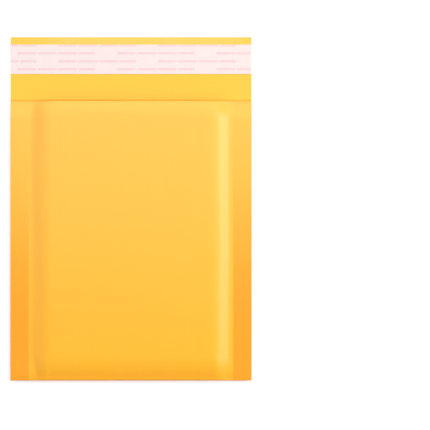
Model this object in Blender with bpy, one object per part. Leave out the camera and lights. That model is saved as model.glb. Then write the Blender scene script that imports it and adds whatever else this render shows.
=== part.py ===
"""A kraft padded envelope that lies open on a table: a folded paper web, its welded bubble lining,
and the glue strip with its peel-off backing on the flap.

+X runs across the envelope, +Y from the bottom fold towards the flap and +Z up.
The origin is on the table, under the middle of the envelope. Lengths are in metres.
"""

import math

import bmesh
import bpy

# Paper web: one sheet, folded at the bottom and left long on one side as the flap
WIDTH = 0.184
POCKET_LENGTH = 0.213
PAPER = 0.00025

# Heat-welded band along each side, and the slope from it up to the full padding. The slope rises
# steeply past its foot and then levels out
SEAL_BAND = 0.014
SHOULDER = 0.016
SEAL_LIFT = 0.0024
FOOT_SHARE = 0.18

# Bubble lining
FILM = 0.0002
BUBBLE_HEIGHT = 0.0018
BUBBLE_DIAMETER = 0.010
BUBBLE_GAP = 0.0018
CRUSHED_GAP = 0.0008
FIELD_MARGIN = 0.001

# Free height between the two bubble layers, and how the envelope thins at the fold and at the mouth,
# where it lies down on the table
POCKET_CLEARANCE = 0.0046
FOLD_THICKNESS = 0.0044
FOLD_TAPER = 0.016
MOUTH_THICKNESS = 0.0064
MOUTH_TAPER = 0.014

# The flap, from the mouth outwards: bare paper, backing, bare paper. The glue lies under the backing
BARE_FLAP = 0.0209
BACKING_WIDTH = 0.0224
TIP_MARGIN = 0.0057
GLUE_MARGIN = 0.0022
BACKING = 0.0002
GLUE = 0.0002

# Space that parts which touch keep between them
CLEARANCE = 0.0003

# Facets, the angle past which an edge looks sharp, the step that a slope is read over, and the
# distance within which two points are one
SWELL_STEPS = 4
FOLD_STEPS = 3
MOUTH_STEPS = 4
SHARP_ANGLE = math.radians(40)
SLOPE_STEP = 0.000001
WELD = 0.000001

# Places that follow from the sizes above
LINING_INSET = PAPER + CLEARANCE
CAVITY_INSET = LINING_INSET + FILM
SEAM_HALF = CAVITY_INSET
SEAM_Z = SEAL_LIFT + SEAM_HALF
THICKNESS = 2 * (CAVITY_INSET + BUBBLE_HEIGHT) + POCKET_CLEARANCE
PILLOW_RISE = THICKNESS - SEAM_Z - SEAM_HALF
MOUTH_RISE = MOUTH_THICKNESS - 2 * SEAM_HALF
FOLD_SHARE = (FOLD_THICKNESS - 2 * SEAM_HALF) / (THICKNESS - 2 * SEAM_HALF)
FLAP_LENGTH = BARE_FLAP + BACKING_WIDTH + TIP_MARGIN
CAVITY_HALF_WIDTH = WIDTH / 2 - SEAL_BAND
FLAT_HALF_WIDTH = CAVITY_HALF_WIDTH - SHOULDER
FOLD_Y = -(POCKET_LENGTH + FLAP_LENGTH) / 2
LIP_Y = FOLD_Y + POCKET_LENGTH
TIP_Y = LIP_Y + FLAP_LENGTH
BACKING_TOP_Y = TIP_Y - TIP_MARGIN
BACKING_BOTTOM_Y = BACKING_TOP_Y - BACKING_WIDTH
GLUE_TOP_Y = BACKING_TOP_Y - GLUE_MARGIN
GLUE_BOTTOM_Y = BACKING_BOTTOM_Y + GLUE_MARGIN

# The bubbles stand in staggered rows over the flat middle, from behind the mouth to the fold
BUBBLE_COLUMNS = round(2 * FLAT_HALF_WIDTH / (BUBBLE_DIAMETER + BUBBLE_GAP))
COLUMN_PITCH = 2 * FLAT_HALF_WIDTH / BUBBLE_COLUMNS
ROW_PITCH = COLUMN_PITCH * math.sqrt(3) / 2
ZIGZAG = COLUMN_PITCH / (4 * math.sqrt(3))
FIELD_TOP_Y = LIP_Y - MOUTH_TAPER - FIELD_MARGIN - ZIGZAG

# Finishes of the sub-parts: name, linear colour with alpha, roughness
KRAFT_PAPER = ("kraft_paper", (0.96, 0.56, 0.09, 1.0), 0.6)
BUBBLE_FILM = ("bubble_film", (0.86, 0.88, 0.90, 1.0), 0.3)
HOT_MELT_GLUE = ("hot_melt_glue", (0.82, 0.72, 0.48, 1.0), 0.35)
RELEASE_PAPER = ("release_paper", (0.97, 0.81, 0.80, 1.0), 0.4)


def ease(share):
    """A smooth step from 0 to 1."""
    share = min(1.0, max(0.0, share))
    return share * share * (3 - 2 * share)


def swell(share):
    """A step from 0 to 1 that steepens over its foot and then levels out."""
    share = min(1.0, max(0.0, share))
    if share < FOOT_SHARE:
        return share * share / FOOT_SHARE
    return 1 - (1 - share) ** 2 / (1 - FOOT_SHARE)


def mix(first, second, share):
    """The value that lies this share of the way from first to second."""
    return first + (second - first) * share


def side_fullness(x):
    """0 on the welded bands, 1 over the flat middle."""
    return swell((CAVITY_HALF_WIDTH - abs(x)) / SHOULDER)


def fold_radius(x):
    """Radius of the web's outer face where it turns round the bottom fold."""
    return SEAM_HALF + FOLD_SHARE * side_fullness(x) * (PILLOW_RISE + SEAL_LIFT) / 2


def fold_centre_z(x):
    """Height of the middle of that turn."""
    return SEAM_Z + FOLD_SHARE * side_fullness(x) * (PILLOW_RISE - SEAL_LIFT) / 2


def padding_share(x, y):
    """How much of the full padding has built up at this distance from the fold."""
    reach = y - FOLD_Y - fold_radius(x)
    return mix(FOLD_SHARE, 1.0, swell(reach / FOLD_TAPER)) * side_fullness(x)


def depth_share(y):
    """0 at the lip and on the flap, 1 where the pocket has its full height."""
    return ease((LIP_Y - y) / MOUTH_TAPER)


def upper_height(x, y):
    """Height of the outer face of the upper wall."""
    deep = depth_share(y)
    return SEAL_LIFT * deep + 2 * SEAM_HALF + mix(MOUTH_RISE, PILLOW_RISE, deep) * padding_share(x, y)


def lower_height(x, y):
    """Height of the outer face of the lower wall, which runs on as the flat flap."""
    return SEAL_LIFT * depth_share(y) * (1 - padding_share(x, y))


def wall_point(height, up, x, y, inset):
    """A point of a wall, moved in from its outer face by inset, square to that face."""
    slope_x = (height(x + SLOPE_STEP, y) - height(x - SLOPE_STEP, y)) / (2 * SLOPE_STEP)
    slope_y = (height(x, y + SLOPE_STEP) - height(x, y - SLOPE_STEP)) / (2 * SLOPE_STEP)
    move = up * inset / math.sqrt(slope_x**2 + slope_y**2 + 1)
    return (x - slope_x * move, y - slope_y * move, height(x, y) + move)


def upper_point(x, y, inset):
    """A point of the upper wall. Its y is that of the cut at the lip."""
    px, py, pz = wall_point(upper_height, -1, x, y, inset)
    return (px, y if y >= LIP_Y else py, pz)


def lower_point(x, y, inset):
    """A point of the lower wall or of the flap. Its y is that of the cut at the lip and at the tip."""
    px, py, pz = wall_point(lower_height, 1, x, y, inset)
    return (px, y if y in (LIP_Y, TIP_Y) else py, pz)


def fold_point(x, turn, inset):
    """A point of the bottom fold. turn runs from -1 at the lower wall to 1 at the upper one."""
    radius = fold_radius(x) - inset
    angle = turn * math.pi / 2
    y = FOLD_Y + fold_radius(x) - radius * math.cos(angle)
    return (x, y, fold_centre_z(x) + radius * math.sin(angle))


def steps(first, last, count):
    """count + 1 evenly spaced values from first to last."""
    return [mix(first, last, i / count) for i in range(count + 1)]


def swell_steps(first, last):
    """SWELL_STEPS + 1 values from the start of a swell to its end, one of them at its foot."""
    return [first] + steps(mix(first, last, FOOT_SHARE), last, SWELL_STEPS - 1)


def web_columns():
    """Places across the web, from one cut side to the other."""
    left = [-WIDTH / 2] + swell_steps(-CAVITY_HALF_WIDTH, -FLAT_HALF_WIDTH)
    middle = steps(-FLAT_HALF_WIDTH, FLAT_HALF_WIDTH, BUBBLE_COLUMNS)[1:-1]
    return left + middle + [-x for x in reversed(left)]


def mouth_rows():
    """Places along a wall, from the lip to the end of the mouth's taper."""
    return steps(LIP_Y, LIP_Y - MOUTH_TAPER, MOUTH_STEPS)


def fold_rows():
    """Places along a wall, from the end of the fold's taper down to the fold itself."""
    start = FOLD_Y + fold_radius(0)
    return swell_steps(start, start + FOLD_TAPER)[:0:-1]


def bubble_lines():
    """Places of the lines between the rows of bubbles, from the lip back towards the fold."""
    count = int((FIELD_TOP_Y - ZIGZAG - fold_rows()[0]) / ROW_PITCH)
    return [FIELD_TOP_Y - i * ROW_PITCH for i in range(count + 1)]


def wall_rows():
    """Places along a wall, from the lip to the fold. The long flat stretch between needs no rows."""
    return mouth_rows() + fold_rows()


def web_grid(inset, rows_before=()):
    """Rows of points round the folded web: lower wall, fold, upper wall."""
    columns = web_columns()
    rows = list(rows_before) + wall_rows()
    turns = steps(-1, 1, 2 * FOLD_STEPS)
    grid = [[lower_point(x, y, inset) for x in columns] for y in rows]
    grid += [[fold_point(x, turn, inset) for x in columns] for turn in turns]
    grid += [[upper_point(x, y, inset) for x in columns] for y in reversed(wall_rows())]
    return grid


def add_grid(bm, grid):
    """Adds a grid of points as vertices and quads, and returns the rows of vertices."""
    rows = [[bm.verts.new(point) for point in row] for row in grid]
    for near, far in zip(rows, rows[1:]):
        for i in range(len(near) - 1):
            bm.faces.new((near[i], near[i + 1], far[i + 1], far[i]))
    return rows


def material(finish):
    """A plain material, without metal."""
    name, colour, roughness = finish
    made = bpy.data.materials.new(name)
    made.use_nodes = True
    shader = made.node_tree.nodes["Principled BSDF"]
    shader.inputs["Base Color"].default_value = colour
    shader.inputs["Roughness"].default_value = roughness
    shader.inputs["Metallic"].default_value = 0.0
    return made


def add_object(name, bm, finish, parent):
    """Puts a finished bmesh into the scene as a smooth object under the envelope's empty."""
    mesh = bpy.data.meshes.new(name)
    bm.to_mesh(mesh)
    bm.free()
    mesh.materials.append(material(finish))
    mesh.shade_smooth()
    mesh.set_sharp_from_angle(angle=SHARP_ANGLE)
    obj = bpy.data.objects.new(name, mesh)
    obj.parent = parent
    bpy.context.scene.collection.objects.link(obj)
    return obj


def thicken(obj, thickness):
    """Gives a sheet its thickness, which grows inwards from the outer face of the web."""
    modifier = obj.modifiers.new("Thickness", "SOLIDIFY")
    modifier.thickness = thickness
    modifier.offset = -1
    modifier.use_even_offset = True


def kraft_envelope(parent):
    """The paper web: flap, lower wall, bottom fold and upper wall in one sheet."""
    bm = bmesh.new()
    add_grid(bm, web_grid(0.0, [TIP_Y]))
    thicken(add_object("kraft_envelope", bm, KRAFT_PAPER, parent), PAPER)


def close_sides(bm, rows):
    """Closes the lining's welded sides between its upper and lower faces."""
    last = len(rows) - 1
    nose = [i for i in range(len(rows)) if len(wall_rows()) <= i <= last - len(wall_rows())]
    for end in (0, -1):
        for i in range(nose[0]):
            bm.faces.new((rows[i][end], rows[i + 1][end], rows[last - i - 1][end], rows[last - i][end]))
        bm.faces.new([rows[i][end] for i in nose])


def cavity_columns():
    """Places across the pocket: the shoulders, and half a bubble apart over the flat middle."""
    left = swell_steps(-CAVITY_HALF_WIDTH, -FLAT_HALF_WIDTH)
    middle = steps(-FLAT_HALF_WIDTH, FLAT_HALF_WIDTH, 2 * BUBBLE_COLUMNS)[1:-1]
    return left + middle + [-x for x in reversed(left)]


def zigzag_y(line_y, line, column):
    """Shifts a line between two rows of bubbles up and down, so that the cells are hexagons."""
    half_step = column - SWELL_STEPS
    if not 0 <= half_step <= 2 * BUBBLE_COLUMNS:
        return line_y
    return line_y + (ZIGZAG if (half_step + line) % 2 else -ZIGZAG)


def seam_point(x, y):
    """The point of a welded side where the two inner faces of the lining meet."""
    return (x, y, SEAL_LIFT * depth_share(y) + SEAM_HALF)


def cavity_wall(point, turn_sign):
    """Rows of points on one inner face of the lining, from the lip to the tip of the fold."""
    columns = cavity_columns()
    places = [[y] * len(columns) for y in mouth_rows()]
    for line, line_y in enumerate(bubble_lines()):
        places.append([zigzag_y(line_y, line, i) for i in range(len(columns))])
    places += [[y] * len(columns) for y in fold_rows()]
    rows = []
    for ys in places:
        inner = [point(x, y, CAVITY_INSET) for x, y in zip(columns, ys)]
        rows.append([seam_point(columns[0], ys[0])] + inner[1:-1] + [seam_point(columns[-1], ys[-1])])
    for turn in steps(turn_sign, 0, FOLD_STEPS):
        rows.append([fold_point(x, turn, CAVITY_INSET) for x in columns])
    return rows


def bubble_height(x, y):
    """Height of a bubble: full in the open pocket, crushed where the walls come close."""
    free = upper_height(x, y) - lower_height(x, y) - 2 * CAVITY_INSET
    return max(0.0, min(BUBBLE_HEIGHT, (free - CRUSHED_GAP) / 2))


def add_cavity_wall(bm, grid):
    """Adds one inner face of the lining. Returns its vertex rows and the hexagon cells of the bubbles."""
    rows = [[bm.verts.new(point) for point in row] for row in grid]
    field_start = len(mouth_rows())
    field_rows = range(field_start, field_start + len(bubble_lines()) - 1)
    field = range(SWELL_STEPS, SWELL_STEPS + 2 * BUBBLE_COLUMNS)
    cells = []
    for j, (near, far) in enumerate(zip(rows, rows[1:])):
        i = 0
        while i < len(near) - 1:
            starts_cell = j in field_rows and i in field and (i - field[0] + j - field_start) % 2 == 0
            span = 2 if starts_cell and i + 1 in field else 1
            ring = [near[i + k] for k in range(span + 1)] + [far[i + k] for k in range(span, -1, -1)]
            face = bm.faces.new(ring)
            if span == 2:
                cells.append(face)
            i += span
    return rows, cells


def add_rim(bm, outer_lips, inner_lips):
    """Closes the film's cut edge at the mouth, between the lips of its outer and inner faces."""
    for outer, inner in zip(outer_lips, inner_lips):
        i = 0
        for j in range(1, len(outer) - 2):
            span = 2 if SWELL_STEPS < j <= SWELL_STEPS + BUBBLE_COLUMNS else 1
            bm.faces.new([outer[j], outer[j + 1]] + [inner[i + k] for k in range(span, -1, -1)])
            i += span
    lower, upper = outer_lips
    for side, band_edge in ((0, 1), (-1, -2)):
        corner = inner_lips[0][side]
        bm.faces.new((lower[side], lower[band_edge], corner, upper[band_edge], upper[side]))


def raise_bubbles(bm, cells):
    """Insets each hexagon cell to the bubble's foot and lifts its middle into the pocket."""
    for cell in cells:
        middle = cell.calc_center_median()
        height = bubble_height(middle.x, middle.y)
        bmesh.ops.inset_individual(
            bm, faces=[cell], thickness=BUBBLE_GAP / 2, depth=height, use_even_offset=True
        )


def bubble_lining(parent):
    """The bubble film: a bag with welded sides, a folded bottom and bubbles that face into the pocket."""
    bm = bmesh.new()
    outer = add_grid(bm, web_grid(LINING_INSET))
    close_sides(bm, outer)
    upper, upper_cells = add_cavity_wall(bm, cavity_wall(upper_point, 1))
    lower, lower_cells = add_cavity_wall(bm, cavity_wall(lower_point, -1))
    weld = bmesh.ops.find_doubles(bm, verts=[v for row in upper + lower for v in row], dist=WELD)
    lips = [[weld["targetmap"].get(v, v) for v in wall[0]] for wall in (lower, upper)]
    bmesh.ops.weld_verts(bm, targetmap=weld["targetmap"])
    add_rim(bm, (outer[0], outer[-1]), lips)
    bmesh.ops.recalc_face_normals(bm, faces=bm.faces)
    raise_bubbles(bm, upper_cells + lower_cells)
    add_object("bubble_lining", bm, BUBBLE_FILM, parent)


def flap_strip(name, top_y, bottom_y, inset, thickness, finish, parent):
    """A strip that lies on the flap's glued side, across its whole width."""
    bm = bmesh.new()
    ends = (-WIDTH / 2, WIDTH / 2)
    add_grid(bm, [[lower_point(x, y, inset) for x in ends] for y in (top_y, bottom_y)])
    thicken(add_object(name, bm, finish, parent), thickness)


def main():
    """Clears the scene and builds the envelope under one empty."""
    for obj in list(bpy.data.objects):
        bpy.data.objects.remove(obj)
    envelope = bpy.data.objects.new("padded_envelope", None)
    bpy.context.scene.collection.objects.link(envelope)
    kraft_envelope(envelope)
    bubble_lining(envelope)
    glue_inset = PAPER + CLEARANCE
    backing_inset = glue_inset + GLUE + CLEARANCE
    glue_ends = (GLUE_TOP_Y, GLUE_BOTTOM_Y)
    backing_ends = (BACKING_TOP_Y, BACKING_BOTTOM_Y)
    flap_strip("adhesive_strip", *glue_ends, glue_inset, GLUE, HOT_MELT_GLUE, envelope)
    flap_strip("release_backing", *backing_ends, backing_inset, BACKING, RELEASE_PAPER, envelope)


main()
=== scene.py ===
"""The looks of a kraft padded envelope: golden paper web, bubble film, glue strip, peel-off backing.

The envelope lies open on a pale floor with its flap side up. Lengths are in metres, in the frame's
axes: +X runs across the envelope, +Y from the bottom fold towards the tip of the flap and +Z up.
"""

import logging
import math
from dataclasses import dataclass
from enum import Enum
from typing import Union

import bpy
import numpy as np
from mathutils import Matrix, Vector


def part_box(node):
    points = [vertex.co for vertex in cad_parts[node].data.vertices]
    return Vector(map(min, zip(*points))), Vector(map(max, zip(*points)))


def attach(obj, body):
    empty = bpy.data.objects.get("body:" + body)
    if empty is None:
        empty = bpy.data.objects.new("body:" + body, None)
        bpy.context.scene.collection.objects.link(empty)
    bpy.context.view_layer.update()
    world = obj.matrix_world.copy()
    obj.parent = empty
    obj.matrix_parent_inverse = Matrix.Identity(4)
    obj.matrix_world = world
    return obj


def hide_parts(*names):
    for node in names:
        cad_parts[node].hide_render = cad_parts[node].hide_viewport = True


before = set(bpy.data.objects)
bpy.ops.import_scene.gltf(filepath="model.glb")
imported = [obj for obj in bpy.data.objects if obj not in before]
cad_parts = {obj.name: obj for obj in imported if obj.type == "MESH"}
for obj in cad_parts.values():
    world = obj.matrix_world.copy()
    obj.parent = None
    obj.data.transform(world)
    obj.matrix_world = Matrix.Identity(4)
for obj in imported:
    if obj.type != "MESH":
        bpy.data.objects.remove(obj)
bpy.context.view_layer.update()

LOG = logging.getLogger("padded_envelope")
BODY = "root"
MM = 1000.0
FLAT = "flat"

Colour = tuple[float, float, float, float]
WHITE: Colour = (1.0, 1.0, 1.0, 1.0)
# What an input for a number or for a colour takes: a link or a plain value.
Number = Union["Signal", bpy.types.NodeSocket, float]
Paint = Union[bpy.types.NodeSocket, Colour]


class Graph:
    """A node tree that is put together from values, links and arithmetic."""

    def __init__(self, tree: bpy.types.NodeTree) -> None:
        """Wraps the node tree that the nodes go into."""
        self.tree = tree

    def add(
        self,
        kind: str,
        settings: dict[str, object] | None = None,
        inputs: dict[str | int, object] | None = None,
    ) -> bpy.types.Node:
        """Adds a node.

        Args:
            kind: the node's type.
            settings: its properties, which are set first.
            inputs: values or links for its sockets, by name or by number.

        Returns:
            The new node.
        """
        node = self.tree.nodes.new(kind)
        for name, value in (settings or {}).items():
            setattr(node, name, value)
        for key, value in (inputs or {}).items():
            self.feed(node.inputs[key], value)
        return node

    def feed(self, socket: bpy.types.NodeSocket, value: object) -> None:
        """Gives a socket its value.

        Args:
            socket: the input socket.
            value: a plain value, an output socket or a Signal.
        """
        if isinstance(value, Signal):
            self.tree.links.new(value.socket, socket)
        elif isinstance(value, bpy.types.NodeSocket):
            self.tree.links.new(value, socket)
        else:
            socket.default_value = value

    def split(self, vector: bpy.types.NodeSocket) -> "tuple[Signal, Signal, Signal]":
        """Splits a vector socket into its three numbers."""
        parts = self.add("ShaderNodeSeparateXYZ", inputs={0: vector}).outputs
        return Signal(self, parts[0]), Signal(self, parts[1]), Signal(self, parts[2])

    def join(self, x: Number, y: Number, z: Number) -> bpy.types.NodeSocket:
        """Joins three numbers into a vector socket."""
        return self.add("ShaderNodeCombineXYZ", inputs={0: x, 1: y, 2: z}).outputs[0]

    def noise(self, vector: bpy.types.NodeSocket, scale: float, detail: float) -> "Signal":
        """A smooth noise from 0 to 1.

        Args:
            vector: where the noise is read.
            scale: how many lumps it has in each unit of the vector.
            detail: how many finer layers lie on it.

        Returns:
            The noise.
        """
        node = self.add("ShaderNodeTexNoise", None, {"Vector": vector, "Scale": scale, "Detail": detail})
        return Signal(self, node.outputs[0])

    def blend(self, share: "Signal", first: Paint, second: Paint) -> bpy.types.NodeSocket:
        """Mixes two colours.

        Args:
            share: how much of the second colour there is, from 0 to 1.
            first: colour or colour socket at 0.
            second: colour or colour socket at 1.

        Returns:
            The socket of the mixed colour.
        """
        settings = {"data_type": "RGBA", "clamp_factor": True}
        return self.add("ShaderNodeMix", settings, {0: share, 6: first, 7: second}).outputs[2]

    def shade(self, colour: bpy.types.NodeSocket, value: "Signal") -> bpy.types.NodeSocket:
        """Multiplies a colour by a number."""
        return self.add("ShaderNodeVectorMath", {"operation": "SCALE"}, {0: colour, 3: value}).outputs[0]

    def bump(self, height: "Signal", strength: float, depth: float) -> bpy.types.NodeSocket:
        """Turns a height into a normal.

        Args:
            height: the relief's height, from 0 to 1.
            strength: how much of the relief shows, from 0 to 1.
            depth: depth of the relief in metres.

        Returns:
            The socket of the normal.
        """
        inputs = {"Strength": strength, "Distance": depth, "Height": height}
        return self.add("ShaderNodeBump", None, inputs).outputs[0]


class Signal:
    """A number that varies over a surface. Arithmetic with it adds Math nodes."""

    def __init__(self, graph: Graph, socket: bpy.types.NodeSocket) -> None:
        """Wraps an output socket of the graph."""
        self.graph = graph
        self.socket = socket

    def apply(self, operation: str, *operands: Number) -> "Signal":
        """Adds a Math node.

        Args:
            operation: the node's operation.
            operands: its inputs, in order.

        Returns:
            The node's result.
        """
        node = self.graph.add("ShaderNodeMath", {"operation": operation}, dict(enumerate(operands)))
        return Signal(self.graph, node.outputs[0])

    def __add__(self, other: Number) -> "Signal":
        """self + other."""
        return self.apply("ADD", self, other)

    def __radd__(self, other: Number) -> "Signal":
        """other + self."""
        return self.apply("ADD", other, self)

    def __sub__(self, other: Number) -> "Signal":
        """self - other."""
        return self.apply("SUBTRACT", self, other)

    def __rsub__(self, other: Number) -> "Signal":
        """other - self."""
        return self.apply("SUBTRACT", other, self)

    def __mul__(self, other: Number) -> "Signal":
        """self * other."""
        return self.apply("MULTIPLY", self, other)

    def __rmul__(self, other: Number) -> "Signal":
        """other * self."""
        return self.apply("MULTIPLY", other, self)

    def __truediv__(self, other: Number) -> "Signal":
        """self / other."""
        return self.apply("DIVIDE", self, other)

    def __rtruediv__(self, other: Number) -> "Signal":
        """other / self."""
        return self.apply("DIVIDE", other, self)

    def __pow__(self, other: Number) -> "Signal":
        """self ** other."""
        return self.apply("POWER", self, other)

    def __rpow__(self, other: Number) -> "Signal":
        """other ** self."""
        return self.apply("POWER", other, self)

    def __mod__(self, other: Number) -> "Signal":
        """self modulo other, never negative."""
        return self.apply("FLOORED_MODULO", self, other)

    def __rmod__(self, other: Number) -> "Signal":
        """other modulo self, never negative."""
        return self.apply("FLOORED_MODULO", other, self)

    def __abs__(self) -> "Signal":
        """The distance from 0."""
        return self.apply("ABSOLUTE", self)

    def floor(self) -> "Signal":
        """The whole number below."""
        return self.apply("FLOOR", self)

    def below(self, limit: Number) -> "Signal":
        """1 where the number is under the limit, 0 elsewhere."""
        return self.apply("LESS_THAN", self, limit)

    def at_most(self, limit: Number) -> "Signal":
        """The smaller of the number and the limit."""
        return self.apply("MINIMUM", self, limit)

    def ease(self, low: float, high: float) -> "Signal":
        """A smooth step.

        Args:
            low: the number at which the step starts.
            high: the number at which it ends.

        Returns:
            0 below low, 1 above high and a smooth rise between them.
        """
        inputs = {"Value": self, "From Min": low, "From Max": high}
        node = self.graph.add("ShaderNodeMapRange", {"interpolation_type": "SMOOTHSTEP"}, inputs)
        return Signal(self.graph, node.outputs[0])


def new_shader(name: str, constants: dict[str, object]) -> tuple[bpy.types.Material, Graph, bpy.types.Node]:
    """Starts a material with a Principled shader.

    Args:
        name: the material's name.
        constants: what is the same all over the surface, by socket name.

    Returns:
        The material, its graph and its shader.
    """
    material = bpy.data.materials.new(name)
    material.use_nodes = True
    shader = material.node_tree.nodes["Principled BSDF"]
    for socket, value in constants.items():
        shader.inputs[socket].default_value = value
    return material, Graph(material.node_tree), shader


@dataclass(frozen=True)
class SheetPlace:
    """Where a shader is on a sheet before the sheet was folded.

    Attributes:
        x: millimetres to the right of the sheet's middle.
        along: millimetres from the sheet's first cut edge.
        inner: 0 on the outer face, 1 on the inner face.
    """

    x: Signal
    along: Signal
    inner: Signal

    @classmethod
    def read(cls, graph: Graph) -> "SheetPlace":
        """Reads the place that each sheet carries as an attribute.

        Args:
            graph: the material's graph.

        Returns:
            The place.
        """
        place = graph.add("ShaderNodeAttribute", {"attribute_name": FLAT}).outputs["Vector"]
        x, along, inner = graph.split(place)
        return cls(x * MM, along * MM, inner)

    def cut(self, start: float, end: float) -> Signal:
        """Finds the sheet's cut edges.

        Args:
            start: how deep the cut starts to show, from 0 on a face to 1 halfway through.
            end: how deep it shows in full.

        Returns:
            1 on the cut edges, 0 on the faces.
        """
        depth = self.inner * (1.0 - self.inner) * 4.0
        return depth.ease(start, end)


@dataclass(frozen=True)
class Span:
    """A value that follows a share from one end to the other.

    Attributes:
        first: its value at a share of 0.
        last: its value at a share of 1.
    """

    first: float
    last: float

    def at(self, share: Signal) -> Signal:
        """The value at a share."""
        return self.first + share * (self.last - self.first)


@dataclass(frozen=True)
class Grain:
    """A noise that lies along a sheet.

    Attributes:
        stretch: its scale along the sheet as a share of its scale across it.
        scale: lumps in each millimetre across the sheet.
        detail: how many finer layers lie on it.
        tone: how much it lightens and darkens the sheet.
        relief: its share of the sheet's relief.
        face_step: how far its pattern moves on from the outer face to the inner one.
    """

    stretch: float
    scale: float
    detail: float
    tone: float
    relief: float = 0.0
    face_step: float = 40.0

    def read(self, graph: Graph, place: SheetPlace) -> Signal:
        """The noise at a place, from 0 to 1."""
        vector = graph.join(place.x, place.along * self.stretch, place.inner * self.face_step)
        return graph.noise(vector, self.scale, self.detail)


@dataclass(frozen=True)
class Waves:
    """A smooth noise along a line across a sheet.

    Attributes:
        scale: lumps in each millimetre.
        row: the row of the noise in which it is read, so that two lines differ.
        detail: how many finer layers lie on it.
    """

    scale: float
    row: float
    detail: float = 1.0

    def read(self, graph: Graph, place: SheetPlace) -> Signal:
        """The noise at a place, from 0 to 1."""
        return graph.noise(graph.join(place.x, self.row, 0.0), self.scale, self.detail)


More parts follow.
